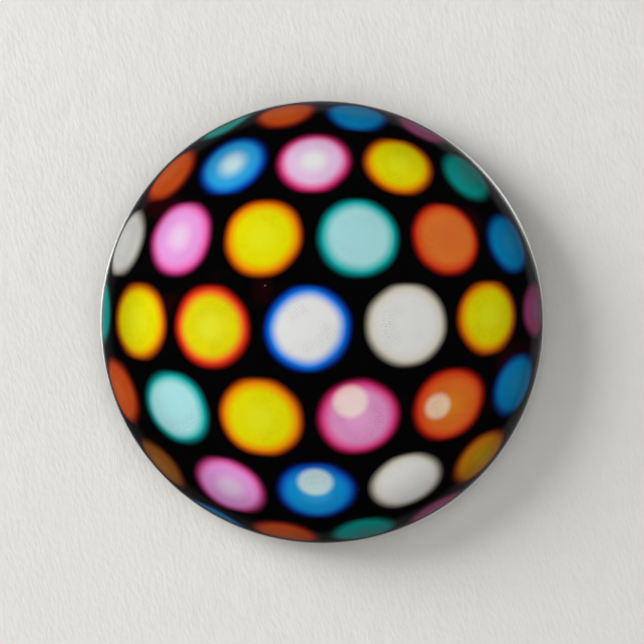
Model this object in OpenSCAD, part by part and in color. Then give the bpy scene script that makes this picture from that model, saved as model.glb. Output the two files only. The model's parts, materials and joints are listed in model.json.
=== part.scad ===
// Pin-back button badge, 57 mm, with a spring wire pin.
// The badge stands as it is worn: the face looks along -Y, +Z is up, and the origin is the middle
// of the flat ring on its back. Every module below draws the badge lying down, with its axis along
// Z and its face up, and as_worn() turns it upright.

/* [Badge] */
// Outside diameter of the finished badge
badge_d = 57.15; // [48:0.05:75]
// Depth from the flat ring on the back to the top of the face
badge_depth = 8.4; // [6.8:0.1:12]
// Radius of the rounded shoulder between the face and the side
shoulder_r = 2.6; // [1.8:0.1:3.5]
// Height of the straight side between the shoulder and the turned edge
side_h = 0.95; // [0.3:0.05:3]

/* [Layers] */
// Thickness of the clear film
film_t = 0.1; // [0.05:0.01:0.2]
// Thickness of the printed paper
paper_t = 0.12; // [0.08:0.01:0.25]
// Thickness of the tinplate of the shell and the collet
tin_t = 0.3; // [0.2:0.05:0.4]
// Gap left between one layer and the next
layer_gap = 0.02; // [0.01:0.01:0.05]

/* [Turned edge] */
// Outside radius of the edge that is turned in around the collet
curl_r = 1.7; // [1.4:0.05:2.4]
// Height of the turned leg above the middle of its curl
leg_h = 1.25; // [0.8:0.05:2]
// How far the turned edge stands back from the flat ring
curl_recess = 0.25; // [0.1:0.05:0.6]

/* [Collet] */
// Width of the ring around the opening in the back
ring_w = 4.125; // [3:0.125:5.5]
// Outside radius of the rolled edge around the opening
roll_r = 0.6; // [0.5:0.05:0.9]
// Length of the flat end that the rolled edge finishes in
roll_end = 0.5; // [0.2:0.1:1]
// Outside radius of the bend between the flat ring and the collet's wall
ring_bend_r = 0.7; // [0.5:0.05:1]
// Gap between the turned edge and the collet on the wall side
crimp_gap = 0.05; // [0.02:0.01:0.1]
// Gap between the turned edge and the collet's hooked rim
hook_gap = 0.15; // [0.1:0.01:0.3]
// Gap between the end of the hooked rim and the inside of the curl
seat_gap = 0.02; // [0.01:0.01:0.05]

/* [Pin] */
// Diameter of the spring wire
wire_d = 1; // [0.8:0.05:1.2]
// Height of the needle above the middle of the badge, as worn
needle_rise = 4; // [0:0.5:8]
// Radius of the bend that the needle springs from, to the middle of the wire
root_bend_r = 4.5; // [3:0.25:6]
// Length of straight wire between that bend and the flexing point
root_run = 0.3; // [0.2:0.1:1]
// Length of the ground point
point_len = 5; // [3:0.5:8]
// Diameter of the very tip
tip_d = 0.16; // [0.1:0.02:0.3]
// Distance between the needle's tip and the opening's edge
tip_margin = 1.5; // [1:0.1:3]
// Gap between the wire ring and the collet's wall
ring_gap = 0.05; // [0.02:0.01:0.2]
// Gap between the rounded ends that meet at the flexing point
flex_gap = 0.16; // [0.14:0.01:0.3]

/* [Catch] */
// How far the hook's end reaches past the middle of the needle
hook_reach = 0.05; // [0:0.05:0.3]
// Distance of the hook from the needle's tip
hook_from_tip = 3; // [2:0.25:5]
// Gap between the needle and the closed side of the hook
hook_room = 0.6; // [0.4:0.05:1]
// How far the hook stands back from the flat ring
hook_recess = 0.1; // [0:0.05:0.5]
// Direction where the wire leaves the ring for the catch, in degrees below level
catch_angle = 15; // [10:1:30]
// How steeply the wire crosses from the ring to the catch, in degrees from upright
catch_slant = 60; // [40:5:75]
// Radius of both bends on the way to the catch, to the middle of the wire
catch_bend_r = 3; // [2:0.25:4]
// Gap that the needle keeps from the hook as it opens
path_gap = 0.12; // [0.1:0.01:0.3]
// Slope at which the needle leaves the hook, in degrees out of the badge's plane
path_slope = 35; // [30:1:45]

/* [Hidden] */
$fn = 96;

badge_r = badge_d / 2;

// Depth of each layer's outer face below the outside of the badge
paper_in = film_t + layer_gap;
shell_in = paper_in + paper_t + layer_gap;
stack_t = shell_in + tin_t;

// Middle of the curl, middle of the shoulder and the sphere of the face
curl_x = badge_r - curl_r;
curl_z = curl_recess + curl_r;
shoulder_x = badge_r - shoulder_r;
shoulder_z = curl_z + side_h;
crown = badge_depth - shoulder_z;
dome_r = (pow(shoulder_x, 2) + pow(crown, 2) - pow(shoulder_r, 2)) / (2 * (crown - shoulder_r));
dome_z = badge_depth - dome_r;
shoulder_angle = atan2(shoulder_z - dome_z, shoulder_x);

// Collet: its wall stands inside the turned leg, and its rim hooks over that leg
leg_x = badge_r - 2 * curl_r;
leg_top = curl_z + leg_h;
wall_x = leg_x - crimp_gap - tin_t;
rim_x = leg_x + stack_t + hook_gap;
arch_in_r = (rim_x - wall_x - tin_t) / 2;
arch_x = wall_x + tin_t + arch_in_r;
rim_end_z = curl_z - sqrt(pow(curl_r - stack_t - seat_gap, 2) - pow(curl_x - rim_x, 2));
opening_r = wall_x + tin_t - ring_w;
roll_x = opening_r + roll_r;

// Hook, to the middle of its wire: just wide enough for the needle to slide out past its end
wire_r = wire_d / 2;
hooked_r = tip_d / 2 + (wire_r - tip_d / 2) * min(hook_from_tip / point_len, 1);
hook_r = (wire_r + hooked_r + path_gap + hook_reach * sin(path_slope)) / cos(path_slope);

// Wire: its ring lies in one plane, and the hook rises from that plane to the back
ring_r = wall_x - ring_gap - wire_r;
ring_z = hook_recess + wire_r + 2 * hook_r;

// Bend from the ring into the needle's line
bend_y = needle_rise - root_bend_r;
bend_x = -sqrt(pow(ring_r - root_bend_r, 2) - pow(bend_y, 2));
ring_from = 180 - asin(bend_y / (ring_r - root_bend_r));
ring_turn = 360 - catch_angle - ring_from;

// Flexing point, midway between the rounded ends of the wire and the needle
ball_x = wire_r + flex_gap / 2;
root_x = bend_x + root_run + ball_x;

// Needle: from the flexing point to its tip, tilted back into the hook
tip_x = sqrt(pow(opening_r, 2) - pow(needle_rise, 2)) - tip_margin;
hook_x = tip_x - hook_from_tip;
needle_tilt = atan2(hook_r, hook_x - root_x);
needle_len = (tip_x - root_x) / cos(needle_tilt);

// Hook's place: its closed side stands off the needle, and its end just passes it
hook_y = needle_rise + hooked_r + hook_room + wire_r - hook_r;
hook_end_y = needle_rise - hook_reach;

// Way of the wire from its ring to the catch: a bend in, a straight run and a bend up
turn_x = (ring_r - catch_bend_r) * cos(catch_angle);
turn_y = -(ring_r - catch_bend_r) * sin(catch_angle);
run_x = turn_x + catch_bend_r * cos(catch_slant);
run_y = turn_y + catch_bend_r * sin(catch_slant);
run_len = (run_x - hook_x - catch_bend_r * (1 - cos(catch_slant))) / sin(catch_slant);
rise_x = hook_x + catch_bend_r;
rise_y = run_y + run_len * cos(catch_slant) + catch_bend_r * sin(catch_slant);

// Bends lap into the runs beside them, a hair slimmer, so that the wire is one solid
lap = 0.05;
lap_slim = 0.002;

// Turns the lying badge upright, with its face along -Y
module as_worn() {
    rotate([90, 0, 0])
        children();
}

// The round strip between two radii about one point of the section
module round_strip(x, z, outer_r, inner_r) {
    translate([x, z])
        difference() {
            circle(outer_r);
            circle(inner_r);
        }
}

// The section under the outside of the badge at one depth, down to the middle of the curl
module front_section(depth) {
    far = 2 * dome_r;
    intersection() {
        translate([0, dome_z])
            circle(dome_r - depth, $fn = 360);
        polygon([
            [0, dome_z],
            [far * cos(shoulder_angle), dome_z + far * sin(shoulder_angle)],
            [0, dome_z + far]
        ]);
        translate([0, curl_z])
            square([badge_d, badge_depth]);
    }
    intersection() {
        translate([shoulder_x, shoulder_z])
            circle(shoulder_r - depth);
        translate([0, curl_z])
            square([badge_d, badge_depth]);
    }
    translate([0, curl_z])
        square([badge_r - depth, side_h]);
}

// One layer of the front: face, shoulder, side, curl and turned leg
module skin(outer, inner) {
    rotate_extrude() {
        difference() {
            front_section(outer);
            front_section(inner);
        }
        intersection() {
            round_strip(curl_x, curl_z, curl_r - outer, curl_r - inner);
            square([badge_d, curl_z]);
        }
        translate([leg_x + outer, curl_z])
            square([inner - outer, leg_h]);
    }
}

module clear_film() {
    color([0.8, 0.85, 0.9, 0.5])
        as_worn()
            skin(0, film_t);
}

module printed_paper() {
    color([0.08, 0.08, 0.09])
        as_worn()
            skin(paper_in, paper_in + paper_t);
}

module front_shell() {
    color("silver")
        as_worn()
            skin(shell_in, stack_t);
}

module back_collet() {
    flat_end_x = wall_x + tin_t - ring_bend_r;
    color("lightgray")
        as_worn()
            rotate_extrude() {
                translate([roll_x, 2 * roll_r - tin_t])
                    square([roll_end, tin_t]);
                intersection() {
                    round_strip(roll_x, roll_r, roll_r, roll_r - tin_t);
                    square([roll_x, 2 * roll_r]);
                }
                translate([roll_x, 0])
                    square([flat_end_x - roll_x, tin_t]);
                intersection() {
                    round_strip(flat_end_x, ring_bend_r, ring_bend_r, ring_bend_r - tin_t);
                    translate([flat_end_x, 0])
                        square(ring_bend_r);
                }
                translate([wall_x, ring_bend_r])
                    square([tin_t, leg_top - ring_bend_r]);
                intersection() {
                    round_strip(arch_x, leg_top, arch_in_r + tin_t, arch_in_r);
                    translate([0, leg_top])
                        square([badge_d, badge_depth]);
                }
                translate([rim_x, rim_end_z])
                    square([tin_t, leg_top - rim_end_z]);
            }
}

// A straight run of full wire, from a point of the ring's plane
module wire_run(x, y, direction, length) {
    translate([x, y])
        rotate(direction)
            rotate([0, 90, 0])
                cylinder(h = length, r = wire_r, $fn = 32);
}

// A bend in the plane of the ring; it laps into the runs on both its ends
module wire_bend(x, y, r, from, turn) {
    lap_turn = lap / r * 180 / PI;
    translate([x, y])
        rotate(from - lap_turn)
            rotate_extrude(angle = turn + 2 * lap_turn)
                translate([r, 0])
                    circle(wire_r - lap_slim, $fn = 32);
}

// The ring itself, in full wire
module wire_ring() {
    rotate(ring_from)
        rotate_extrude(angle = ring_turn)
            translate([ring_r, 0])
                circle(wire_r, $fn = 32);
}

// The hook, which curls from the ring's plane round the needle's far side to the back
module wire_hook() {
    translate([hook_x, hook_y, -hook_r])
        rotate([90, 0, 90])
            wire_bend(0, 0, hook_r, -90, 180);
    translate([0, 0, -2 * hook_r]) {
        wire_run(hook_x, hook_y, -90, hook_y - hook_end_y);
        translate([hook_x, hook_end_y])
            sphere(wire_r, $fn = 32);
    }
}

module pin_wire() {
    color("gainsboro")
        as_worn()
            translate([0, 0, ring_z]) {
                translate([bend_x + root_run, needle_rise])
                    sphere(wire_r, $fn = 32);
                wire_run(bend_x, needle_rise, 0, root_run);
                wire_bend(bend_x, bend_y, root_bend_r, 90, ring_from - 90);
                wire_ring();
                wire_bend(turn_x, turn_y, catch_bend_r, -catch_angle, catch_angle + catch_slant);
                wire_run(run_x, run_y, 90 + catch_slant, run_len);
                wire_bend(rise_x, rise_y, catch_bend_r, 180, catch_slant);
                wire_run(hook_x, rise_y, 90, hook_y - rise_y);
                wire_hook();
            }
}

module pin_needle() {
    shaft_end = needle_len - point_len;
    color("white")
        as_worn()
            translate([root_x, needle_rise, ring_z])
                rotate([0, needle_tilt, 0]) {
                    translate([ball_x, 0, 0])
                        sphere(wire_r, $fn = 32);
                    translate([ball_x, 0, 0])
                        rotate([0, 90, 0])
                            cylinder(h = shaft_end - ball_x, r = wire_r, $fn = 32);
                    translate([shaft_end, 0, 0])
                        rotate([0, 90, 0])
                            cylinder(h = point_len, r1 = wire_r, r2 = tip_d / 2, $fn = 32);
                }
}

clear_film();
printed_paper();
front_shell();
back_collet();
pin_wire();
pin_needle();
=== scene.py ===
import json
import math
import random

import bpy
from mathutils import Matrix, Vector


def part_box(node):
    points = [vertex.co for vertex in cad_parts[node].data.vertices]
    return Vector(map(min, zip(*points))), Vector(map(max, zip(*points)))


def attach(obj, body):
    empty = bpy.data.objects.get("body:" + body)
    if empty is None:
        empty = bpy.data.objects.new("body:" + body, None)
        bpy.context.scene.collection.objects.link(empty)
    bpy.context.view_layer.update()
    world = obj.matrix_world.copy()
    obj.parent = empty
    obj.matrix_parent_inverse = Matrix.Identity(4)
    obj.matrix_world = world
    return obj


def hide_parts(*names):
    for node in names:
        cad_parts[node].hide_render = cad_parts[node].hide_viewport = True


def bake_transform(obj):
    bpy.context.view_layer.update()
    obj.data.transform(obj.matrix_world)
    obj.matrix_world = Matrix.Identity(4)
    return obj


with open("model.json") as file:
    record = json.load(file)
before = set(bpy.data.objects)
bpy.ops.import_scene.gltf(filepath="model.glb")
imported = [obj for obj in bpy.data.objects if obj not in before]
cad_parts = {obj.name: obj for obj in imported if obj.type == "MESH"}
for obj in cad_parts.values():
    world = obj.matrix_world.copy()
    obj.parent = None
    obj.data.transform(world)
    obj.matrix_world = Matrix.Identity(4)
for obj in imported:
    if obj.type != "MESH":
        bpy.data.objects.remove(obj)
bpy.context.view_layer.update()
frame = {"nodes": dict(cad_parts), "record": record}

print("frame loaded:", ", ".join(sorted(frame["nodes"])))

mm = 0.001
filmLow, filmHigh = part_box("clear_film")
badgeR = filmHigh.x
badgeDepth = -filmLow.y
hinge = Vector(frame["record"]["behaviour"]["joints"][0]["pos_m"])


rampSteps = 32  # a colour ramp holds no more

# nodes: one bench per tree, so a material reads from left to right
class nodeBench:
    def __init__(self, tree):
        self.tree = tree
        self.column = 0

    def add(self, kind, values=None, **settings):
        node = self.tree.nodes.new(kind)
        node.location = (self.column, 0)
        self.column += 190
        for name, value in settings.items():
            setattr(node, name, value)
        for name, value in (values or {}).items():
            if isinstance(value, bpy.types.NodeSocket):
                self.tree.links.new(value, node.inputs[name])
            else:
                node.inputs[name].default_value = value
        return node

    def math(self, operation, *values):
        return self.add("ShaderNodeMath", dict(enumerate(values)), operation=operation).outputs[0]

    def times(self, first, second):
        return self.math("MULTIPLY", first, second)

    def timesPlus(self, first, second, third):
        return self.math("MULTIPLY_ADD", first, second, third)

    def ease(self, value, start, end, low=0.0, high=1.0):
        # a smooth step from low to high as value goes from start to end
        values = {"Value": value, "From Min": start, "From Max": end, "To Min": low, "To Max": high}
        return self.add("ShaderNodeMapRange", values, interpolation_type="SMOOTHSTEP").outputs[0]

    def mix(self, factor, first, second, mode="MIX"):
        values = {0: factor, 6: first, 7: second}
        return self.add("ShaderNodeMix", values, data_type="RGBA", blend_type=mode).outputs[2]

    def noise(self, place, scale, detail=3.0, roughness=0.5):
        values = {"Vector": place, "Scale": scale, "Detail": detail, "Roughness": roughness}
        return self.add("ShaderNodeTexNoise", values).outputs[0]

    def stretch(self, place, scale, turn=(0, 0, 0)):
        values = {"Vector": place, "Rotation": turn, "Scale": scale}
        return self.add("ShaderNodeMapping", values).outputs[0]

    def split(self, vector):
        return self.add("ShaderNodeSeparateXYZ", {0: vector}).outputs

    def join(self, x, y, z=0.0):
        return self.add("ShaderNodeCombineXYZ", {0: x, 1: y, 2: z}).outputs[0]

    def place(self):
        return self.add("ShaderNodeTexCoord").outputs["Object"]

    def turned(self, place, angle, axis="Y_AXIS"):
        values = {"Vector": place, "Angle": angle}
        return self.add("ShaderNodeVectorRotate", values, rotation_type=axis).outputs[0]

    def scaled(self, place, scale):
        return self.add("ShaderNodeVectorMath", {0: place, "Scale": scale}, operation="SCALE").outputs[0]

    def fromAxis(self, place):
        # how far a place is from the badge's own axis
        x, y, z = self.split(place)[:3]
        return self.math("SQRT", self.timesPlus(x, x, self.times(z, z)))

    def effect(self, tree, values):
        return self.add("ShaderNodeGroup", values, node_tree=tree).outputs

    def bump(self, height, distance):
        return self.add("ShaderNodeBump", {"Height": height, "Distance": distance}).outputs[0]

    def steps(self, position, colours):
        # a ramp of equal flat steps, one for each colour
        node = self.add("ShaderNodeValToRGB", {0: position})
        ramp = node.color_ramp
        ramp.interpolation = "CONSTANT"
        while len(ramp.elements) < len(colours):
            ramp.elements.new(1.0)
        for number, colour in enumerate(colours):
            ramp.elements[number].position = number / rampSteps
            ramp.elements[number].color = (*colour, 1.0)
        return node.outputs[0]


def startMaterial(name):
    material = bpy.data.materials.new(name)
    material.use_nodes = True
    material.node_tree.nodes.clear()
    return material, nodeBench(material.node_tree)


def endMaterial(bench, shader):
    bench.add("ShaderNodeOutputMaterial", {"Surface": shader})


def startGroup(name, inputs, outputs):
    tree = bpy.data.node_groups.new(name, "ShaderNodeTree")
    for label, start in inputs.items():
        kind = "NodeSocketVector" if isinstance(start, tuple) else "NodeSocketFloat"
        socket = tree.interface.new_socket(label, in_out="INPUT", socket_type=kind)
        socket.default_value = start
    for label, kind in outputs.items():
        tree.interface.new_socket(label, in_out="OUTPUT", socket_type="NodeSocket" + kind)
    bench = nodeBench(tree)
    return tree, bench, bench.add("NodeGroupInput").outputs


def endGroup(bench, values):
    bench.add("NodeGroupOutput", values)


def linear(colour):
    return tuple(c / 12.92 if c <= 0.04045 else ((c + 0.055) / 1.055) ** 2.4 for c in colour)


# shared effects, and how fine each is: most are in waves of noise per metre
effectForm = {
    "scratchPatches": 140.0,
    "scratchRuns": ((0.35, 0.030), (1.9, 0.022), (2.7, 0.045)),  # the turn and thinness of each
    "smudgeFine": 1400.0,
    "dustBare": 0.86,
    "coarseGrain": (45, 600, 1900),
    "fineGrain": (160, 2500, 9000),
    "spunFine": 5200.0,
    "spunBroad": 700.0,
    "spunRound": 1.3,
    "drawnRun": 0.35,
    "brokenRub": 620.0,
}


def makeFineScratches():
    tree, bench, given = startGroup(
        "fineScratches", {"Place": (0, 0, 0), "Scale": 1.0, "Density": 0.5}, {"Mask": "Float"}
    )
    patches = bench.noise(given["Place"], effectForm["scratchPatches"], 2.0)
    scaled = bench.scaled(given["Place"], given["Scale"])
    found = 0.0
    for turn, thin in effectForm["scratchRuns"]:
        lines = bench.noise(bench.stretch(bench.turned(scaled, turn), (1.0, 0.04, thin)), 1.0, 1.0)
        line = bench.ease(lines, 0.69, 0.73)
        found = bench.math("MAXIMUM", found, line)
    shown = bench.times(found, bench.ease(patches, 0.62, 0.42))
    endGroup(bench, {"Mask": bench.times(shown, given["Density"])})
    return tree


def makeHandSmudge():
    tree, bench, given = startGroup("handSmudge", {"Place": (0, 0, 0), "Scale": 90.0}, {"Mask": "Float"})
    broad = bench.noise(given["Place"], given["Scale"], 3.0, 0.55)
    fine = bench.noise(given["Place"], effectForm["smudgeFine"], 2.0)
    both = bench.timesPlus(fine, 0.16, broad)
    endGroup(bench, {"Mask": bench.ease(both, 0.44, 0.78)})
    return tree


def makeDustSpecks():
    tree, bench, given = startGroup(
        "dustSpecks", {"Place": (0, 0, 0), "Scale": 700.0, "Size": 0.08}, {"Mask": "Float"}
    )
    values = {"Vector": given["Place"], "Scale": given["Scale"]}
    cells = bench.add("ShaderNodeTexVoronoi", values).outputs
    chosen = bench.math("GREATER_THAN", bench.split(cells["Color"])[0], effectForm["dustBare"])
    small = bench.math("LESS_THAN", cells["Distance"], given["Size"])
    endGroup(bench, {"Mask": bench.times(chosen, small)})
    return tree


def makeRolledGrain():
    inputs = {"Place": (0, 0, 0), "Scale": 1.0, "Turn": 0.0}
    tree, bench, given = startGroup("rolledGrain", inputs, {"Shade": "Float", "Height": "Float"})
    scaled = bench.scaled(bench.turned(given["Place"], given["Turn"]), given["Scale"])
    coarse = bench.noise(bench.stretch(scaled, effectForm["coarseGrain"]), 1.0, 4.0, 0.6)
    fine = bench.noise(bench.stretch(scaled, effectForm["fineGrain"]), 1.0, 2.0, 0.6)
    shade = bench.timesPlus(fine, 0.4, bench.times(coarse, 0.6))
    endGroup(bench, {"Shade": bench.ease(shade, 0.3, 0.7), "Height": shade})
    return tree


def makeSpunLines():
    tree, bench, given = startGroup(
        "spunLines", {"Place": (0, 0, 0), "Scale": 1.0}, {"Shade": "Float", "Height": "Float"}
    )
    x, y, z = bench.split(given["Place"])[:3]
    around = bench.math("ARCTAN2", z, x)
    across = bench.times(bench.math("ADD", bench.fromAxis(given["Place"]), y), given["Scale"])
    spread = bench.times(around, effectForm["spunRound"])
    lines = bench.noise(bench.join(bench.times(across, effectForm["spunFine"]), spread), 1.0, 3.0)
    broad = bench.noise(bench.join(bench.times(across, effectForm["spunBroad"]), around), 1.0, 2.0)
    both = bench.timesPlus(broad, 0.4, bench.times(lines, 0.6))
    endGroup(bench, {"Shade": bench.ease(both, 0.32, 0.68), "Height": both})
    return tree


def makeDrawnLines():
    tree, bench, given = startGroup(
        "drawnLines", {"Run": (0, 0, 0), "Lines": 26.0}, {"Shade": "Float", "Height": "Float"}
    )
    around, along = bench.split(given["Run"])[:2]
    turn = bench.times(around, 2 * math.pi)
    ring = bench.join(
        bench.times(bench.math("COSINE", turn), given["Lines"]),
        bench.times(bench.math("SINE", turn), given["Lines"]),
        bench.times(along, effectForm["drawnRun"]),
    )
    lines = bench.noise(ring, 0.6, 3.0, 0.6)
    endGroup(bench, {"Shade": bench.ease(lines, 0.35, 0.65), "Height": lines})
    return tree


def makeEdgeRub():
    tree, bench, given = startGroup(
        "edgeRub", {"Place": (0, 0, 0), "Distance": 1.0, "Width": 0.0003}, {"Mask": "Float"}
    )
    near = bench.math("DIVIDE", bench.math("ABSOLUTE", given["Distance"]), given["Width"])
    broken = bench.noise(given["Place"], effectForm["brokenRub"], 4.0, 0.65)
    reach = bench.timesPlus(broken, 2.0, near)
    endGroup(bench, {"Mask": bench.ease(reach, 2.0, 1.0)})
    return tree


fineScratches = makeFineScratches()
handSmudge = makeHandSmudge()
dustSpecks = makeDustSpecks()
rolledGrain = makeRolledGrain()
spunLines = makeSpunLines()
drawnLines = makeDrawnLines()
edgeRub = makeEdgeRub()
print("shared effects made")


# meshes
def meshObject(name, points, faces, smooth=True):
    mesh = bpy.data.meshes.new(name)
    mesh.from_pydata(points, [], faces)
    mesh.validate()
    for face in mesh.polygons:
        face.use_smooth = smooth
    made = bpy.data.objects.new(name, mesh)
    bpy.context.scene.collection.objects.link(made)
    return made


faceForm = {
    "shoulderR": 2.6 * mm,
    "sideH": 0.95 * mm,
    "curlR": 1.7 * mm,
    "curlRecess": 0.25 * mm,
    "legH": 1.25 * mm,
    "filmT": 0.1 * mm,
    "paperDepth": 0.12 * mm,
    "paperT": 0.12 * mm,
    "segments": 384,
    "domeSteps": 22,
    "shoulderSteps": 14,
    "curlSteps": 30,
    "pleats": 84,
    "pleatHeight": 0.05 * mm,
    "pleatRise": (0.12, 0.42),  # where the pleats begin and stand out in full, as shares of the curl
    "pleatFall": (0.9, 0.65),
    "pleatDrift": 0.32,  # how far one strays from its place, as a share of a pleat
    "pleatWidth": (0.7, 1.5),  # in segments
    "pleatShare": (0.25, 1.0),
    "pleatSpread": 6,
}
curlX = badgeR - faceForm["curlR"]
curlH = faceForm["curlRecess"] + faceForm["curlR"]
shoulderX = badgeR - faceForm["shoulderR"]
shoulderH = curlH + faceForm["sideH"]
crown = badgeDepth - shoulderH
domeR = (shoulderX**2 + crown**2 - faceForm["shoulderR"] ** 2) / (2 * (crown - faceForm["shoulderR"]))
domeH = badgeDepth - domeR
shoulderAngle = math.atan2(shoulderH - domeH, shoulderX)


def arc(centreX, centreY, radius, start, end, count):
    # points of an arc, from start to end in radians, both included
    turns = [start + (end - start) * number / count for number in range(count + 1)]
    return [(centreX + radius * math.cos(t), centreY + radius * math.sin(t)) for t in turns]


def straightRise(value, start, end):
    # a straight rise from 0 at start to 1 at end
    return min(1.0, max(0.0, (value - start) / (end - start)))


def skinSection(depth):
    # radius, height and pleat share down the face, round the shoulder and the side, to the leg's end
    form = faceForm
    dome = arc(0, domeH, domeR - depth, math.pi / 2, shoulderAngle, form["domeSteps"])
    section = [(r, h, 0.0) for r, h in dome]
    shoulder = arc(shoulderX, shoulderH, form["shoulderR"] - depth, shoulderAngle, 0, form["shoulderSteps"])
    section += [(r, h, 0.0) for r, h in shoulder[1:]]
    section += [(badgeR - depth, curlH + form["sideH"] * share, 0.0) for share in (0.66, 0.33)]
    curl = arc(curlX, curlH, form["curlR"] - depth, 0, -math.pi, form["curlSteps"])
    for number, (r, h) in enumerate(curl):
        turn = number / form["curlSteps"]
        stand = straightRise(turn, *form["pleatRise"]) * straightRise(turn, *form["pleatFall"])
        section.append((r, h, stand))
    legX = badgeR - 2 * form["curlR"] + depth
    section += [(legX, curlH + form["legH"] * share, 0.0) for share in (0.5, 1.0)]
    section[0] = (0.0, section[0][1], 0.0)
    return section


def pleatHeights(count, seed):
    # how far the turned edge stands out at each step round: uneven pleats, as a press leaves them
    form = faceForm
    draw = random.Random(seed)
    heights = [0.0] * count
    for number in range(form["pleats"]):
        middle = (number + draw.uniform(-form["pleatDrift"], form["pleatDrift"])) * count / form["pleats"]
        width = draw.uniform(*form["pleatWidth"])
        height = draw.uniform(*form["pleatShare"])
        for step in range(-form["pleatSpread"], form["pleatSpread"] + 1):
            index = int(round(middle)) + step
            away = (index - middle) / width
            heights[index % count] = max(heights[index % count], height * math.exp(-away * away))
    return heights


def latheSkin(name, outerDepth, innerDepth):
    # a closed skin turned about the badge's axis, with the pleats pressed into its turned edge
    count = faceForm["segments"]
    outer = skinSection(outerDepth)
    inner = skinSection(innerDepth)
    heights = pleatHeights(count, 11)
    rings = outer[1:] + inner[:0:-1]
    points = [(0.0, -outer[0][1], 0.0), (0.0, -inner[0][1], 0.0)]
    for r, h, share in rings:
        awayR, awayH = r - curlX, h - curlH
        length = max(math.hypot(awayR, awayH), 1e-9)
        for step in range(count):
            lift = faceForm["pleatHeight"] * share * heights[step]
            radius = r + lift * awayR / length
            height = h + lift * awayH / length
            turn = 2 * math.pi * step / count
            points.append((radius * math.cos(turn), -height, radius * math.sin(turn)))
    faces = []
    for step in range(count):
        after = (step + 1) % count
        faces.append((0, 2 + step, 2 + after))
        for number in range(len(rings) - 1):
            low, high = 2 + number * count, 2 + (number + 1) * count
            faces.append((low + step, high + step, high + after, low + after))
        last = 2 + (len(rings) - 1) * count
        faces.append((last + step, 1, last + after))
    return meshObject(name, points, faces)


def printFlatMap(made, sectionDepth, printR):
    # the flat sheet before it was pressed: how far each point lies from the middle along the paper
    section = skinSection(sectionDepth)
    lengths = [0.0]
    for before, after in zip(section, section[1:]):
        lengths.append(lengths[-1] + math.dist(before[:2], after[:2]))
    count = faceForm["segments"]
    ringLengths = lengths[1:] + lengths[:0:-1]
    layer = made.data.uv_layers.new(name="printFlat")
    for loop in made.data.loops:
        index = loop.vertex_index
        if index < 2:
            layer.data[loop.index].uv = (0.0, 0.0)
            continue
        ring, step = divmod(index - 2, count)
        turn = 2 * math.pi * step / count
        reach = ringLengths[ring] / printR
        layer.data[loop.index].uv = (reach * math.cos(turn), reach * math.sin(turn))


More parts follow.
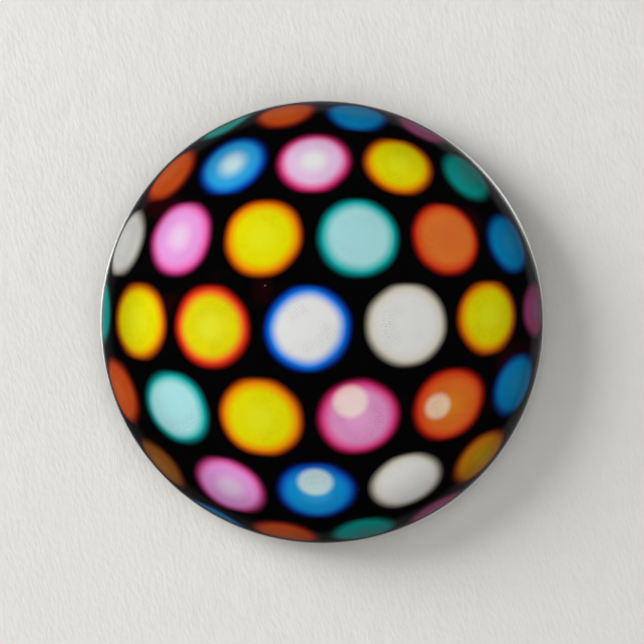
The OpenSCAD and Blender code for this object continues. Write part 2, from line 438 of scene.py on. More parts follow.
# the print: rows of soft round lights on black, as if wrapped round a ball
printLook = {
    "printR": 29.3 * mm,
    "rowStep": 23.7,
    "rowShift": 6.9,
    "columnStep": 25.6,
    "columnShift": 3.4,
    "tipDown": 8.6,
    "turnLeft": -7.0,
    "lightR": 10.9,
    "lightSizes": (0.97, 1.02),
    "rimGrowth": 1.05,
    "jitter": 0.4,
    "black": (0.0010, 0.0010, 0.0012, 1.0),
    "stray": (0.022, 0.001, 0.001, 1.0),
    "gain": 1.1,
    "grain": 0.36,
    # where one colour runs into the next, in light radii from a light's middle
    "middleToHalf": (0.08, 0.6),
    "halfToEdge": (0.62, 0.92),
    "edgeDeepens": (0.84, 1.06),
    "fadeEnd": 1.1,
    "fadeStart": (0.84, 0.68),  # well inside the face, and at its rim
    "rowGap": (0.5, 0.43),
    "uneven": 0.14,
    # painted shade: how dark the print is made at the rim, standing in for the shoulder turning away from
    # the light
    "rimPaintedShade": 0.42,
    # each light's colour at its middle, half way out and at its edge
    "lights": {
        "dark": ((0.01, 0.01, 0.01), (0.01, 0.01, 0.01), (0.01, 0.01, 0.01)),
        "white": ((0.88, 0.88, 0.87), (0.88, 0.88, 0.87), (0.84, 0.82, 0.77)),
        "whiteBlue": ((0.88, 0.88, 0.88), (0.88, 0.88, 0.88), (0.01, 0.48, 0.88)),
        "yellow": ((0.86, 0.86, 0.10), (0.87, 0.84, 0.01), (0.89, 0.52, 0.01)),
        "yellowRed": ((0.86, 0.85, 0.16), (0.86, 0.82, 0.03), (0.89, 0.27, 0.12)),
        "orange": ((0.84, 0.67, 0.09), (0.86, 0.57, 0.07), (0.72, 0.34, 0.05)),
        "red": ((0.85, 0.43, 0.18), (0.86, 0.45, 0.17), (0.83, 0.24, 0.10)),
        "redSpot": ((0.85, 0.50, 0.12), (0.86, 0.42, 0.14), (0.82, 0.22, 0.09)),
        "redOrange": ((0.85, 0.38, 0.12), (0.84, 0.34, 0.11), (0.66, 0.18, 0.06)),
        "brown": ((0.62, 0.40, 0.14), (0.58, 0.34, 0.10), (0.42, 0.20, 0.05)),
        "pink": ((0.87, 0.87, 0.87), (0.86, 0.72, 0.85), (0.84, 0.25, 0.53)),
        "pinkSpot": ((0.88, 0.62, 0.80), (0.87, 0.58, 0.77), (0.84, 0.24, 0.52)),
        "lilac": ((0.88, 0.76, 0.87), (0.88, 0.60, 0.85), (0.87, 0.36, 0.66)),
        "magenta": ((0.70, 0.42, 0.64), (0.74, 0.31, 0.52), (0.50, 0.20, 0.36)),
        "cyan": ((0.63, 0.84, 0.85), (0.64, 0.84, 0.85), (0.05, 0.68, 0.67)),
        "teal": ((0.20, 0.60, 0.58), (0.05, 0.65, 0.62), (0.02, 0.47, 0.43)),
        "blue": ((0.75, 0.86, 0.88), (0.16, 0.62, 0.84), (0.02, 0.32, 0.71)),
        "blueSpot": ((0.20, 0.62, 0.84), (0.06, 0.56, 0.82), (0.02, 0.32, 0.71)),
        "deepBlue": ((0.12, 0.58, 0.78), (0.02, 0.56, 0.80), (0.02, 0.33, 0.64)),
    },
    # rows from the top, seven places in each from left to right
    "rows": {
        3: ("dark", "teal", "redOrange", "deepBlue", "magenta", "dark", "dark"),
        2: ("dark", "redOrange", "blue", "pink", "yellow", "teal", "dark"),
        1: ("white", "lilac", "yellow", "cyan", "red", "deepBlue", "brown"),
        0: ("teal", "yellow", "yellowRed", "whiteBlue", "white", "yellow", "magenta"),
        -1: ("redOrange", "cyan", "yellow", "pinkSpot", "redSpot", "deepBlue", "brown"),
        -2: ("dark", "brown", "lilac", "blueSpot", "white", "orange", "dark"),
        -3: ("dark", "deepBlue", "redOrange", "teal", "magenta", "dark", "dark"),
    },
    # a small bright spot on some lights: across, up and its size, in light radii
    "spots": {
        "pinkSpot": (-0.2, 0.44, 0.40),
        "blueSpot": (0.0, 0.36, 0.42),
        "redSpot": (-0.36, 0.04, 0.32),
    },
}


def makeLightRows():
    look = printLook
    tree, bench, given = startGroup(
        "lightRows",
        {"Flat": (0, 0, 0)},
        {"Row": "Float", "Column": "Float", "Local": "Vector", "Reach": "Float", "Inside": "Float"},
    )
    step, stepX = math.radians(look["rowStep"]), math.radians(look["columnStep"])
    u, v = bench.split(given["Flat"])[:2]
    flat = bench.timesPlus(v, v, bench.times(u, u))
    toward = bench.math("SQRT", bench.math("MAXIMUM", bench.math("SUBTRACT", 1.0, flat), 0.0001))
    # the ball is seen a little from the side, so turn it back before the rows are counted
    ball = bench.join(u, v, toward)
    ball = bench.turned(ball, math.radians(-look["turnLeft"]))
    ball = bench.turned(ball, math.radians(-look["tipDown"]), "X_AXIS")
    x, y, z = bench.split(ball)[:3]
    away = bench.math("ARCCOSINE", bench.math("MINIMUM", z, 0.99999))
    spread = bench.math("DIVIDE", away, bench.math("MAXIMUM", bench.math("SINE", away), 0.001))
    across = bench.times(x, spread)
    lifted = bench.timesPlus(y, spread, -math.radians(look["rowShift"]))
    row = bench.math("ROUND", bench.math("DIVIDE", lifted, step))
    odd = bench.math("FLOORED_MODULO", row, 2.0)
    shift = bench.timesPlus(odd, stepX / 2, math.radians(look["columnShift"]))
    column = bench.math("ROUND", bench.math("DIVIDE", bench.math("SUBTRACT", across, shift), stepX))
    cell = bench.join(row, column, 3.0)  # the 3 picks the draw
    draw = bench.split(bench.add("ShaderNodeTexWhiteNoise", {"Vector": cell}).outputs["Color"])
    loose = 2 * math.radians(look["jitter"])
    awayX = bench.math("SUBTRACT", across, bench.timesPlus(column, stepX, shift))
    awayY = bench.math("SUBTRACT", lifted, bench.times(row, step))
    # a light fades before it meets the next row
    inside = bench.ease(bench.math("ABSOLUTE", awayY), *[step * share for share in look["rowGap"]])
    awayX = bench.timesPlus(bench.math("SUBTRACT", draw[0], 0.5), loose, awayX)
    awayY = bench.timesPlus(bench.math("SUBTRACT", draw[1], 0.5), loose, awayY)
    smallest, largest = look["lightSizes"]
    size = bench.timesPlus(draw[2], largest - smallest, smallest)
    reach = bench.math("SQRT", flat)
    size = bench.times(size, bench.ease(reach, 0.6, 1.0, 1.0, look["rimGrowth"]))
    radius = bench.times(size, math.radians(look["lightR"]))
    local = bench.join(bench.math("DIVIDE", awayX, radius), bench.math("DIVIDE", awayY, radius))
    endGroup(bench, {"Row": row, "Column": column, "Local": local, "Reach": reach, "Inside": inside})
    return tree


spotZero = 0.5  # keeps a spot's place above nought on its way through a ramp


def makeLightColours():
    look = printLook
    names = list(look["lights"])
    places = 8  # in a row: seven lights, and a dark one before them
    tree, bench, given = startGroup(
        "lightColours",
        {"Row": 0.0, "Column": 0.0},
        {"Middle": "Color", "Half": "Color", "Edge": "Color", "Spot": "Color", "Shown": "Float"},
    )
    column = bench.math("MAXIMUM", given["Column"], -places / 2)
    column = bench.math("MINIMUM", column, places / 2 - 1)

    def kindRamp(rows, firstRow):
        kinds = []
        for row in rows:
            for name in ("dark", *look["rows"][row]):
                kinds.append(((names.index(name) + 0.5) / rampSteps,) * 3)
        start = bench.times(bench.math("SUBTRACT", given["Row"], firstRow), places)
        number = bench.math("ADD", start, bench.math("ADD", column, places / 2 + 0.5))
        return bench.steps(bench.math("DIVIDE", number, rampSteps), kinds)

    lower = kindRamp((-3, -2, -1, 0), -3.0)
    upper = kindRamp((1, 2, 3), 1.0)
    high = bench.math("GREATER_THAN", given["Row"], 0.5)
    kind = bench.mix(high, lower, upper)
    parts = []
    for place in range(3):
        colours = [[c * look["gain"] for c in linear(look["lights"][name][place])] for name in names]
        parts.append(bench.steps(kind, colours))
    spots = []
    for name in names:
        x, y, size = look["spots"].get(name, (0.0, 0.0, 0.0))
        spots.append((x + spotZero, y + spotZero, size))
    spot = bench.steps(kind, spots)
    furthest = max(look["rows"]) + 0.5
    inRows = bench.math("LESS_THAN", bench.math("ABSOLUTE", given["Row"]), furthest)
    inColumns = bench.math("LESS_THAN", bench.math("ABSOLUTE", given["Column"]), furthest)
    shown = bench.times(inRows, inColumns)
    endGroup(bench, {"Middle": parts[0], "Half": parts[1], "Edge": parts[2], "Spot": spot, "Shown": shown})
    return tree


def makePrintGrain():
    tree, bench, given = startGroup(
        "printGrain", {"Flat": (0, 0, 0), "Amount": 0.15}, {"Factor": "Float", "Height": "Float"}
    )
    dots = bench.noise(given["Flat"], 240.0, 1.0, 0.6)
    soft = bench.noise(given["Flat"], 5.0, 3.0, 0.6)
    dark = bench.times(bench.ease(dots, 0.53, 0.66), bench.ease(soft, 0.42, 0.62, 0.1, 1.0))
    factor = bench.math("SUBTRACT", 1.0, bench.times(dark, given["Amount"]))
    endGroup(bench, {"Factor": factor, "Height": dots})
    return tree


lightRows = makeLightRows()
lightColours = makeLightColours()
printGrain = makePrintGrain()


def printMaterial():
    look = printLook
    material, bench = startMaterial("colourPrint")
    flat = bench.add("ShaderNodeUVMap", uv_map="printFlat").outputs[0]
    rows = bench.effect(lightRows, {"Flat": flat})
    paint = bench.effect(lightColours, {"Row": rows["Row"], "Column": rows["Column"]})
    away = bench.add("ShaderNodeVectorMath", {0: rows["Local"]}, operation="LENGTH").outputs["Value"]
    uneven = bench.noise(flat, 4.5, 1.0)
    away = bench.timesPlus(bench.math("SUBTRACT", uneven, 0.5), look["uneven"], away)
    colour = bench.mix(bench.ease(away, *look["middleToHalf"]), paint["Middle"], paint["Half"])
    colour = bench.mix(bench.ease(away, *look["halfToEdge"]), colour, paint["Edge"])
    deeper = bench.mix(1.0, colour, colour, "MULTIPLY")
    colour = bench.mix(bench.ease(away, *look["edgeDeepens"]), colour, deeper)
    # the small bright spot
    place = bench.split(paint["Spot"])
    spot = bench.join(*[bench.math("SUBTRACT", place[axis], spotZero) for axis in range(2)])
    fromSpot = bench.add("ShaderNodeVectorMath", {0: rows["Local"], 1: spot}, operation="DISTANCE")
    inSpot = bench.math("SUBTRACT", place[2], fromSpot.outputs["Value"])
    bright = bench.mix(1.0, colour, (1.9, 2.2, 1.6, 1.0), "MULTIPLY")
    bright = bench.mix(0.72, bright, (*linear((0.87, 0.87, 0.80)), 1.0))
    hasSpot = bench.math("GREATER_THAN", place[2], 0.1)
    colour = bench.mix(bench.times(bench.ease(inSpot, -0.11, 0.09), hasSpot), colour, bright)
    softer = bench.ease(rows["Reach"], 0.6, 0.95, *look["fadeStart"])
    shown = bench.times(bench.ease(away, look["fadeEnd"], softer), paint["Shown"])
    shown = bench.times(shown, rows["Inside"])
    # painted shade: the lights are darkened towards the rim of the face, as if the turning shoulder shades
    # them
    paintedRimShade = bench.ease(rows["Reach"], 0.72, 1.0, 1.0, look["rimPaintedShade"])
    edge = bench.ease(rows["Reach"], 1.0, 0.985)
    shown = bench.times(shown, bench.times(paintedRimShade, edge))
    # dark specks lie in a loose band round the middle of a light
    band = bench.times(bench.ease(away, 0.2, 0.45), bench.ease(away, 0.82, 0.6))
    amount = bench.timesPlus(band, look["grain"], 0.05)
    grain = bench.effect(printGrain, {"Flat": flat, "Amount": amount})
    shown = bench.times(shown, grain["Factor"])
    black = bench.mix(bench.ease(bench.noise(flat, 3.4, 1.0), 0.6, 0.8), look["black"], look["stray"])
    colour = bench.mix(shown, black, colour)
    rough = bench.ease(grain["Height"], 0.3, 0.7, 0.42, 0.58)
    normal = bench.bump(bench.noise(flat, 420.0, 3.0), 0.004 * mm)
    values = {"Base Color": colour, "Roughness": rough, "Specular IOR Level": 0.03, "Normal": normal}
    endMaterial(bench, bench.add("ShaderNodeBsdfPrincipled", values).outputs[0])
    return material


def makePrintedPaper():
    depth = faceForm["paperDepth"]
    made = latheSkin("printedPaper", depth, depth + faceForm["paperT"])
    printFlatMap(made, depth, printLook["printR"])
    made.data.materials.append(printMaterial())
    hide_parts("printed_paper")
    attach(made, "badge")


makePrintedPaper()
print("printed paper made")


# the clear film: soft gloss, less so over the shoulder, and a little milky where it is turned in
filmLook = {
    "colour": (0.93, 0.94, 0.95, 1.0),
    "ior": 1.46,
    "rough": 0.13,
    "rimRough": 0.24,
    "scratches": 0.3,
    "scratchScale": 5200.0,
    "smudgeScale": 75.0,
    "dust": 0.1,
    "dustScale": 420.0,
    "haze": 0.13,
    "hazeRound": 55.0,
    "hazeAcross": 420.0,
    "hazeFrom": -1.6 * mm,
    "hazeFull": -0.7 * mm,
}


def filmMaterial():
    look = filmLook
    material, bench = startMaterial("softGlossFilm")
    place = bench.place()
    scratchValues = {"Place": place, "Scale": look["scratchScale"], "Density": look["scratches"]}
    scratches = bench.effect(fineScratches, scratchValues)
    smudge = bench.effect(handSmudge, {"Place": place, "Scale": look["smudgeScale"]})
    dust = bench.effect(dustSpecks, {"Place": place, "Scale": look["dustScale"], "Size": 0.05})
    rough = bench.timesPlus(smudge["Mask"], 0.07, look["rough"])
    rough = bench.timesPlus(scratches["Mask"], 0.2, rough)
    # the press stretches the film over the shoulder, which leaves it less glossy there
    stretched = bench.ease(bench.fromAxis(place), shoulderX, badgeR - 0.3 * mm, 0.0, look["rimRough"])
    rough = bench.math("ADD", rough, stretched)
    peel = bench.noise(place, 900.0, 2.0)
    normal = bench.bump(bench.timesPlus(scratches["Mask"], -0.5, peel), 0.004 * mm)
    # pale stress lines run across the turned edge
    x, y, z = bench.split(place)[:3]
    around = bench.times(bench.math("ARCTAN2", z, x), look["hazeRound"])
    streaks = bench.noise(bench.join(around, bench.times(y, look["hazeAcross"])), 1.0, 1.0)
    behind = bench.ease(y, look["hazeFrom"], look["hazeFull"])
    haze = bench.times(bench.ease(streaks, 0.48, 0.72), bench.times(behind, look["haze"]))
    haze = bench.math("MAXIMUM", haze, bench.times(dust["Mask"], look["dust"]))
    gloss = bench.add("ShaderNodeFresnel", {"IOR": look["ior"], "Normal": normal}).outputs[0]
    front = bench.math("SUBTRACT", 1.0, bench.add("ShaderNodeNewGeometry").outputs["Backfacing"])
    shown = bench.times(bench.math("MAXIMUM", gloss, haze), front)
    values = {
        "Base Color": look["colour"],
        "Metallic": bench.ease(haze, 0.06, 0.02),
        "Roughness": rough,
        "Normal": normal,
    }
    skin = bench.add("ShaderNodeBsdfPrincipled", values).outputs[0]
    clear = bench.add("ShaderNodeBsdfTransparent").outputs[0]
    endMaterial(bench, bench.add("ShaderNodeMixShader", {0: shown, 1: clear, 2: skin}).outputs[0])
    return material


def makeClearFilm():
    made = latheSkin("clearFilm", 0.0, faceForm["filmT"])
    made.data.materials.append(filmMaterial())
    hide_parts("clear_film")
    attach(made, "badge")


makeClearFilm()
print("clear film made")


# tinplate: the shell's inside shows through the opening, the collet is the flat ring
tinLook = {
    "shellColour": (0.66, 0.66, 0.65, 1.0),
    "shellRough": 0.34,
    "colletColour": (0.74, 0.74, 0.73, 1.0),
    "colletRough": 0.26,
    "rubColour": (0.86, 0.86, 0.86, 1.0),
    "dullColour": (0.50, 0.49, 0.47, 1.0),
    "rubInside": 2.0 * mm,  # from the collet's rim to the crest of its roll
    "rubWidth": 0.35 * mm,
}


def shellMaterial():
    look = tinLook
    material, bench = startMaterial("rolledTinplate")
    place = bench.place()
    grain = bench.effect(rolledGrain, {"Place": place, "Scale": 1.0, "Turn": 0.5})
    smudge = bench.effect(handSmudge, {"Place": place, "Scale": 70.0})
    scratches = bench.effect(fineScratches, {"Place": place, "Scale": 3800.0, "Density": 0.8})
    colour = bench.mix(bench.times(grain["Shade"], 0.35), look["shellColour"], look["dullColour"])
    colour = bench.mix(bench.times(smudge["Mask"], 0.3), colour, look["dullColour"])
    colour = bench.mix(bench.times(scratches["Mask"], 0.5), colour, look["rubColour"])
    rough = bench.timesPlus(grain["Shade"], 0.12, look["shellRough"])
    rough = bench.timesPlus(smudge["Mask"], 0.12, rough)
    height = bench.timesPlus(scratches["Mask"], -0.4, grain["Height"])
    values = {
        "Base Color": colour,
        "Metallic": 1.0,
        "Roughness": rough,
        "Normal": bench.bump(height, 0.012 * mm),
    }
    endMaterial(bench, bench.add("ShaderNodeBsdfPrincipled", values).outputs[0])
    return material


def colletMaterial():
    look = tinLook
    material, bench = startMaterial("stampedTinplate")
    place = bench.place()
    lines = bench.effect(spunLines, {"Place": place, "Scale": 1.0})
    grain = bench.effect(rolledGrain, {"Place": place, "Scale": 1.2, "Turn": 1.1})
    smudge = bench.effect(handSmudge, {"Place": place, "Scale": 95.0})
    scratches = bench.effect(fineScratches, {"Place": place, "Scale": 4300.0, "Density": 0.9})
    # a bright rub runs round the ring, where it meets cloth and tools
    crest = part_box("back_collet")[1].x - look["rubInside"]
    fromCrest = bench.math("SUBTRACT", bench.fromAxis(place), crest)
    rub = bench.effect(edgeRub, {"Place": place, "Distance": fromCrest, "Width": look["rubWidth"]})
    colour = bench.mix(bench.times(grain["Shade"], 0.3), look["colletColour"], look["dullColour"])
    colour = bench.mix(bench.times(smudge["Mask"], 0.25), colour, look["dullColour"])
    bright = bench.math("MAXIMUM", bench.times(scratches["Mask"], 0.6), rub["Mask"])
    colour = bench.mix(bright, colour, look["rubColour"])
    rough = bench.timesPlus(lines["Shade"], 0.1, look["colletRough"])
    rough = bench.timesPlus(smudge["Mask"], 0.12, rough)
    rough = bench.timesPlus(rub["Mask"], -0.1, rough)
    height = bench.timesPlus(lines["Height"], 0.6, grain["Height"])
    values = {
        "Base Color": colour,
        "Metallic": 1.0,
        "Roughness": rough,
        "Normal": bench.bump(height, 0.01 * mm),
    }
    endMaterial(bench, bench.add("ShaderNodeBsdfPrincipled", values).outputs[0])
    return material


def dressNode(name, material):
    made = frame["nodes"][name]
    made.data.materials.clear()
    made.data.materials.append(material)


dressNode("front_shell", shellMaterial())
dressNode("back_collet", colletMaterial())
print("tinplate dressed")


# the wire: one bent spring wire, drawn as a fixed part, a part that flexes and the needle
wireForm = {
    "wireR": 0.5 * mm,
    "ringR": 24.275 * mm,
    "ringBend": 4.5 * mm,
    "hookBack": 0.1 * mm,
    "catchAngle": 15.0,
    "catchSlant": 60.0,
    "catchBend": 3.0 * mm,
    "hookRoom": 0.6 * mm,
    "hookFromTip": 3.0 * mm,
    "hookReach": 0.05 * mm,
    "pointLength": 5.0 * mm,
    "tipR": 0.08 * mm,
    "flexBefore": 1.5 * mm,
    "flexAfter": 2.5 * mm,
    "sides": 28,
}
needleUp = hinge.z
ringH = -hinge.y
hookR = (ringH - wireForm["hookBack"] - wireForm["wireR"]) / 2
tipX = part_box("pin_needle")[1].x
hookX = tipX - wireForm["hookFromTip"]
needleTilt = math.atan2(hookR, hookX - hinge.x)
needleDirection = Vector((math.cos(needleTilt), math.sin(needleTilt), 0))
bendY = needleUp - wireForm["ringBend"]
bendX = -math.sqrt((wireForm["ringR"] - wireForm["ringBend"]) ** 2 - bendY**2)
ringFrom = math.pi - math.asin(bendY / (wireForm["ringR"] - wireForm["ringBend"]))


def flatPath(points, height):
    # points of the ring's plane, as the badge is worn
    return [Vector((x, -height, y)) for x, y in points]


def wirePath():
    # from the catch's end round the ring to the bend that carries the needle
    form = wireForm
    bend, slant = form["catchBend"], math.radians(form["catchSlant"])
    angle = math.radians(form["catchAngle"])
    turnX = (form["ringR"] - bend) * math.cos(angle)
    turnY = -(form["ringR"] - bend) * math.sin(angle)
    runX = turnX + bend * math.cos(slant)
    runY = turnY + bend * math.sin(slant)
    runLength = (runX - hookX - bend * (1 - math.cos(slant))) / math.sin(slant)
    riseX = hookX + bend
    riseY = runY + runLength * math.cos(slant) + bend * math.sin(slant)
    hookedR = form["tipR"] + (form["wireR"] - form["tipR"]) * form["hookFromTip"] / form["pointLength"]
    hookY = needleUp + hookedR + form["hookRoom"] + form["wireR"] - hookR
    endY = needleUp - form["hookReach"]
    path = [Vector((hookX, -(ringH - 2 * hookR), endY + (hookY - endY) * k / 3)) for k in range(3)]
    for y, h in arc(hookY, ringH - hookR, hookR, -math.pi / 2, math.pi / 2, 22):
        path.append(Vector((hookX, -h, y)))
    path += flatPath([(hookX, hookY + (riseY - hookY) * k / 4) for k in range(1, 4)], ringH)
    path += flatPath(arc(riseX, riseY, bend, math.pi, math.pi + slant, 12), ringH)
    startX = riseX + bend * math.cos(math.pi + slant)
    startY = riseY + bend * math.sin(math.pi + slant)
    shares = [k / 5 for k in range(1, 5)]
    path += flatPath([(startX + (runX - startX) * k, startY + (runY - startY) * k) for k in shares], ringH)
    path += flatPath(arc(turnX, turnY, bend, slant, -angle, 14), ringH)
    path += flatPath(arc(0, 0, form["ringR"], 2 * math.pi - angle, ringFrom, 150)[1:], ringH)
    return path


def bendPath():
    # the last bend and the straight wire beyond it, up to the flexing point
    form = wireForm
    path = flatPath(arc(bendX, bendY, form["ringBend"], ringFrom, math.pi / 2, 26)[1:], ringH)
    straight = hinge.x - bendX
    path += flatPath([(bendX + straight * k / 4, needleUp) for k in range(1, 5)], ringH)
    return path


def sweepWire(name, path, radii, side=Vector((0, 1, 0)), length=0.0):
    # a round wire along a path, with its own run map: once round and millimetres along;
    # side and length carry the map on from the piece before
    sides = wireForm["sides"]
    points, runs = [], []
    for number, centre in enumerate(path):
        before, after = path[max(number - 1, 0)], path[min(number + 1, len(path) - 1)]
        along = (after - before).normalized()
        side = (side - along * side.dot(along)).normalized()
        other = along.cross(side)
        if number:
            length += (centre - path[number - 1]).length / mm
        runs.append(length)
        for step in range(sides):
            turn = 2 * math.pi * step / sides
            points.append(centre + (side * math.cos(turn) + other * math.sin(turn)) * radii[number])
    faces, maps = [], []
    for number in range(len(path) - 1):
        for step in range(sides):
            low, high, after = number * sides, (number + 1) * sides, (step + 1) % sides
            faces.append((low + step, low + after, high + after, high + step))
            maps.append([(step, number), (step + 1, number), (step + 1, number + 1), (step, number + 1)])
    # each end has points of its own, so that the round stays clean up to it
    for number in (0, len(path) - 1):
        steps = range(sides) if number else range(sides - 1, -1, -1)
        first = len(points)
        points += [points[number * sides + step] for step in steps]
        faces.append(tuple(range(first, first + sides)))
        maps.append([(step, number) for step in steps])
    made = meshObject(name, points, faces)
    layer = made.data.uv_layers.new(name="wireRun")
    corners = [(step / sides, runs[number]) for face in maps for step, number in face]
    for loop, corner in zip(layer.data, corners):
        loop.uv = corner
    return made, side, length


def roundedEnd(path, radii, atStart):
    # a small dome on the end of the wire
    centre, inner = (path[0], path[1]) if atStart else (path[-1], path[-2])
    radius = radii[0] if atStart else radii[-1]
    out = (centre - inner).normalized()
    steps = [math.radians(angle) for angle in (18, 36, 54, 70, 84)]
    dome = [(centre + out * radius * math.sin(a), radius * math.cos(a)) for a in steps]
    if atStart:
        dome.reverse()
        return [p for p, r in dome] + path, [r for p, r in dome] + radii
    return path + [p for p, r in dome], radii + [r for p, r in dome]


wireLook = {
    "colour": (0.72, 0.71, 0.68, 1.0),
    "dark": (0.38, 0.36, 0.33, 1.0),
    "bright": (0.90, 0.90, 0.89, 1.0),
    "rough": 0.17,
    "groundFrom": 4.6 * mm,
    "groundFade": 0.8 * mm,
    "marksAlong": 9.0,
    "marksRound": 2.0,
}


def wireMaterial(name, ground):
    # ground turns on the grinding marks of the needle's point
    look = wireLook
    material, bench = startMaterial(name)
    run = bench.add("ShaderNodeUVMap", uv_map="wireRun").outputs[0]
    place = bench.place()
    lines = bench.effect(drawnLines, {"Run": run, "Lines": 26.0})
    smudge = bench.effect(handSmudge, {"Place": place, "Scale": 160.0})
    around, along = bench.split(run)[:2]
    pits = bench.effect(dustSpecks, {"Place": place, "Scale": 2600.0, "Size": 0.16})
    colour = bench.mix(bench.times(lines["Shade"], 0.3), look["colour"], look["dark"])
    colour = bench.mix(bench.times(smudge["Mask"], 0.2), colour, look["dark"])
    colour = bench.mix(bench.times(pits["Mask"], 0.6), colour, look["dark"])
    rough = bench.timesPlus(lines["Shade"], 0.1, look["rough"])
    rough = bench.timesPlus(smudge["Mask"], 0.1, rough)
    height = lines["Height"]
    if ground:
        rings = bench.join(bench.times(along, look["marksAlong"]), bench.times(around, look["marksRound"]))
        marks = bench.noise(rings, 1.0, 4.0, 0.7)
        groundX = tipX - look["groundFrom"]
        atPoint = bench.ease(bench.split(place)[0], groundX, groundX + look["groundFade"])
        colour = bench.mix(bench.times(atPoint, 0.6), colour, look["bright"])
        rough = bench.timesPlus(atPoint, 0.14, rough)
        height = bench.timesPlus(bench.times(atPoint, marks), 1.6, height)
    values = {
        "Base Color": colour,
        "Metallic": 1.0,
        "Roughness": rough,
        "Normal": bench.bump(height, 0.006 * mm),
    }
    endMaterial(bench, bench.add("ShaderNodeBsdfPrincipled", values).outputs[0])
    return material


def makeWire():
    form = wireForm
    fullR = form["wireR"]
    fixed = wirePath()
    whole = fixed + bendPath()
    # the flexing part starts a little before the flexing point
    cut = next(n for n in range(len(fixed), len(whole)) if whole[n].x > hinge.x - form["flexBefore"])
    still = whole[: cut + 1]
    stillR = [fullR] * len(still)
    still, stillR = roundedEnd(still, stillR, True)
    pinWire, side, run = sweepWire("pinWire", still, stillR)
    flex = whole[cut:]
    for number in range(1, 13):
        flex.append(hinge + needleDirection * form["flexAfter"] * number / 12)
    pinFlex, side, run = sweepWire("pinFlex", flex, [fullR] * len(flex), side, run)
    length = (tipX - hinge.x) / math.cos(needleTilt)
    shaft = length - form["pointLength"]
    start = form["flexAfter"]
    needle = [hinge + needleDirection * (start + (shaft - start) * k / 20) for k in range(21)]
    radii = [fullR] * len(needle)
    for number in range(1, 25):
        share = number / 24
        needle.append(hinge + needleDirection * (shaft + form["pointLength"] * share))
        radii.append(fullR + (form["tipR"] - fullR) * share**1.12)
    needle, radii = roundedEnd(needle, radii, False)
    pinNeedle, side, run = sweepWire("pinNeedle", needle, radii, side, run)
    nickel = wireMaterial("nickelWire", False)
    pinWire.data.materials.append(nickel)
    pinFlex.data.materials.append(nickel)
    pinNeedle.data.materials.append(wireMaterial("nickelNeedle", True))
    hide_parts("pin_wire")
    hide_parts("pin_needle")
    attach(pinWire, "badge")
    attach(pinNeedle, "needle")
    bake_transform(pinFlex)


makeWire()
print("spring wire made")


# stage: a sheet of pale textured paper behind the badge, and a pale floor
stageLook = {
    "card": 150 * mm,
    "cardGap": 0.3 * mm,
    "cardColour": (0.80, 0.79, 0.76, 1.0),
    "cardShade": (0.70, 0.68, 0.64, 1.0),
    "fibreTurn": 0.25,
    "fibres": (2300, 900, 850),
    "emboss": 330.0,
    "embossDepth": 0.075 * mm,
    "floorDrop": 75 * mm,
    "floor": 60.0,
    "floorColour": (0.78, 0.77, 0.75, 1.0),
    "floorSeen": (0.66, 0.655, 0.64, 1.0),
    "floorShade": (0.30, 0.29, 0.28, 1.0),
    "farFloor": (0.74, 0.735, 0.72, 1.0),
    "farFrom": 0.08,
    "farFull": 0.6,
}


def cardMaterial():
    look = stageLook
    material, bench = startMaterial("texturedCard")
    place = bench.place()
    broad = bench.noise(place, look["emboss"], 2.0, 0.5)
    turned = bench.turned(place, look["fibreTurn"])
    fibres = bench.noise(bench.stretch(turned, look["fibres"]), 1.0, 2.0, 0.55)
    height = bench.timesPlus(fibres, 0.7, broad)
    colour = bench.mix(bench.ease(broad, 0.3, 0.7, 0.0, 0.12), look["cardColour"], look["cardShade"])
    normal = bench.bump(height, look["embossDepth"])
    values = {"Base Color": colour, "Roughness": 0.9, "Specular IOR Level": 0.1, "Normal": normal}
    sheet = bench.add("ShaderNodeBsdfPrincipled", values).outputs[0]
    clear = bench.add("ShaderNodeBsdfTransparent").outputs[0]
    behind = bench.add("ShaderNodeNewGeometry").outputs["Backfacing"]
    endMaterial(bench, bench.add("ShaderNodeMixShader", {0: behind, 1: sheet, 2: clear}).outputs[0])
    return material


def floorMaterial():
    look = stageLook
    material, bench = startMaterial("paleFloor")
    place = bench.place()
    shade = bench.noise(place, 3.0, 2.0)
    # the key lamp stands close to the floor, so the camera is shown a darker tone of it
    isSeen = bench.add("ShaderNodeLightPath").outputs["Is Camera Ray"]
    colour = bench.mix(isSeen, look["floorColour"], look["floorSeen"])
    colour = bench.mix(bench.ease(shade, 0.3, 0.7, 0.0, 0.06), colour, look["floorShade"])
    values = {"Base Color": colour, "Roughness": 0.85, "Specular IOR Level": 0.1}
    near = bench.add("ShaderNodeBsdfPrincipled", values).outputs[0]
    # far from the lamps it runs into the pale backdrop
    away = bench.add("ShaderNodeVectorMath", {0: place}, operation="LENGTH").outputs["Value"]
    isFar = bench.times(bench.ease(away, look["farFrom"], look["farFull"]), isSeen)
    far = bench.add("ShaderNodeEmission", {"Color": look["farFloor"]}).outputs[0]
    endMaterial(bench, bench.add("ShaderNodeMixShader", {0: isFar, 1: near, 2: far}).outputs[0])
    return material


def makeStage():
    look = stageLook
    half, y = look["card"] / 2, look["cardGap"]
    corners = [(-half, y, -half), (half, y, -half), (half, y, half), (-half, y, half)]
    card = meshObject("backingCard", corners, [(0, 1, 2, 3)], smooth=False)
    card.data.materials.append(cardMaterial())
    for rays in ("visible_diffuse", "visible_glossy", "visible_transmission", "visible_shadow"):
        setattr(card, rays, False)
    wide, z = look["floor"] / 2, -look["floorDrop"]
    corners = [(-wide, -wide, z), (wide, -wide, z), (wide, wide, z), (-wide, wide, z)]
    floor = meshObject("paleFloor", corners, [(0, 1, 2, 3)], smooth=False)
    floor.data.materials.append(floorMaterial())
    # the glossy face would show the floor as a grey veil over its lower half
    floor.visible_glossy = False


makeStage()
print("stage made")


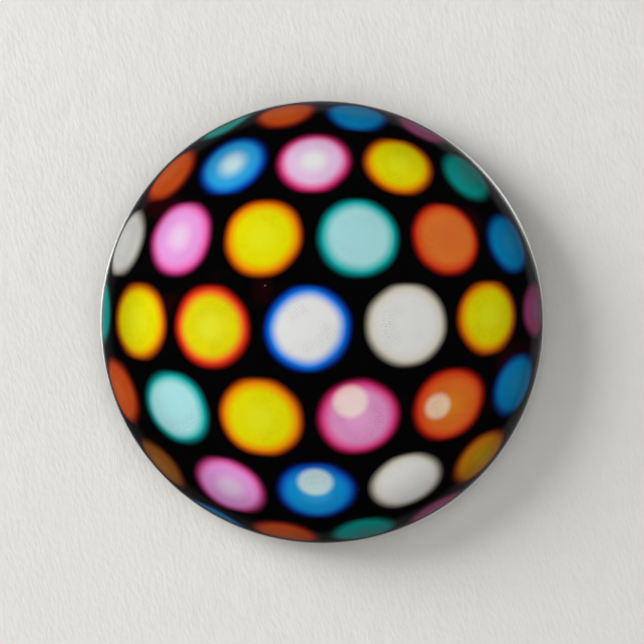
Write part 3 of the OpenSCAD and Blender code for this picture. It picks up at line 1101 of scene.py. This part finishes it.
# soft studio light: the key from the left, a fill from the front, two soft lights behind
lightLook = {
    "key": {"at": (-1.05, -0.43, 0.53), "size": 0.8, "power": 20.6, "gloss": False},
    "fill": {"at": (0.18, -0.95, 0.28), "size": 0.9, "power": 2.2, "gloss": False},
    "backLeft": {"at": (-0.60, 0.76, 0.10), "size": 0.45, "power": 2.2, "gloss": True},
    "backRight": {"at": (0.58, 0.70, 0.42), "size": 0.40, "power": 1.8, "gloss": True},
}
worldLook = {
    "seen": (0.78, 0.775, 0.76, 1.0),
    "pale": 0.55,
    "dark": 0.006,
    "darkFrom": -0.35,  # along Y, towards the camera
    "darkFull": -0.8,
    "lowLeft": 0.35,  # the share of the pale light that comes from the lower left
    "onMatte": 0.3,
}


def makeLights():
    for name, look in lightLook.items():
        lamp = bpy.data.lights.new(name, "AREA")
        lamp.energy = look["power"]
        lamp.shape = "DISK"
        lamp.size = look["size"]
        made = bpy.data.objects.new(name, lamp)
        made.location = look["at"]
        made.rotation_euler = (-Vector(look["at"])).to_track_quat("-Z", "Y").to_euler()
        made.visible_glossy = look["gloss"]
        bpy.context.scene.collection.objects.link(made)


def makeWorld():
    # pale all round, but dark where the camera stands, as a dark room behind a camera is
    look = worldLook
    world = bpy.data.worlds.new("paleRoom")
    bpy.context.scene.world = world
    world.use_nodes = True
    world.node_tree.nodes.clear()
    bench = nodeBench(world.node_tree)
    x, y, z = bench.split(bench.add("ShaderNodeTexCoord").outputs["Generated"])[:3]
    toCamera = bench.ease(y, look["darkFrom"], look["darkFull"])
    rightUp = bench.math("ADD", bench.times(x, 0.8), bench.times(z, 0.5))
    side = bench.ease(rightUp, -0.7, 0.7, look["lowLeft"], 1.0)
    level = bench.times(side, look["pale"])
    level = bench.times(level, bench.math("SUBTRACT", 1.0, toCamera))
    level = bench.math("ADD", level, look["dark"])
    rays = bench.add("ShaderNodeLightPath").outputs
    softly = bench.timesPlus(rays["Is Diffuse Ray"], look["onMatte"] - 1.0, 1.0)
    level = bench.times(level, softly)
    light = bench.join(level, level, level)
    colour = bench.mix(rays["Is Camera Ray"], light, look["seen"])
    shader = bench.add("ShaderNodeBackground", {"Color": colour}).outputs[0]
    bench.add("ShaderNodeOutputWorld", {"Surface": shader})


makeLights()
makeWorld()
print("lights made")


cameraLook = {"distance": 0.85, "frameWidth": 83.08 * mm, "sensor": 36.0}


def makeCamera():
    look = cameraLook
    data = bpy.data.cameras.new("camera")
    data.sensor_width = look["sensor"]
    widest = look["distance"] - (curlH + shoulderH) / 2
    data.lens = look["sensor"] * widest / look["frameWidth"]
    made = bpy.data.objects.new("camera", data)
    made.location = (0, -look["distance"], 0)
    made.rotation_euler = (math.radians(90), 0, 0)
    bpy.context.scene.collection.objects.link(made)
    bpy.context.scene.camera = made


makeCamera()
bpy.context.scene.view_settings.view_transform = "Standard"
print("camera set")
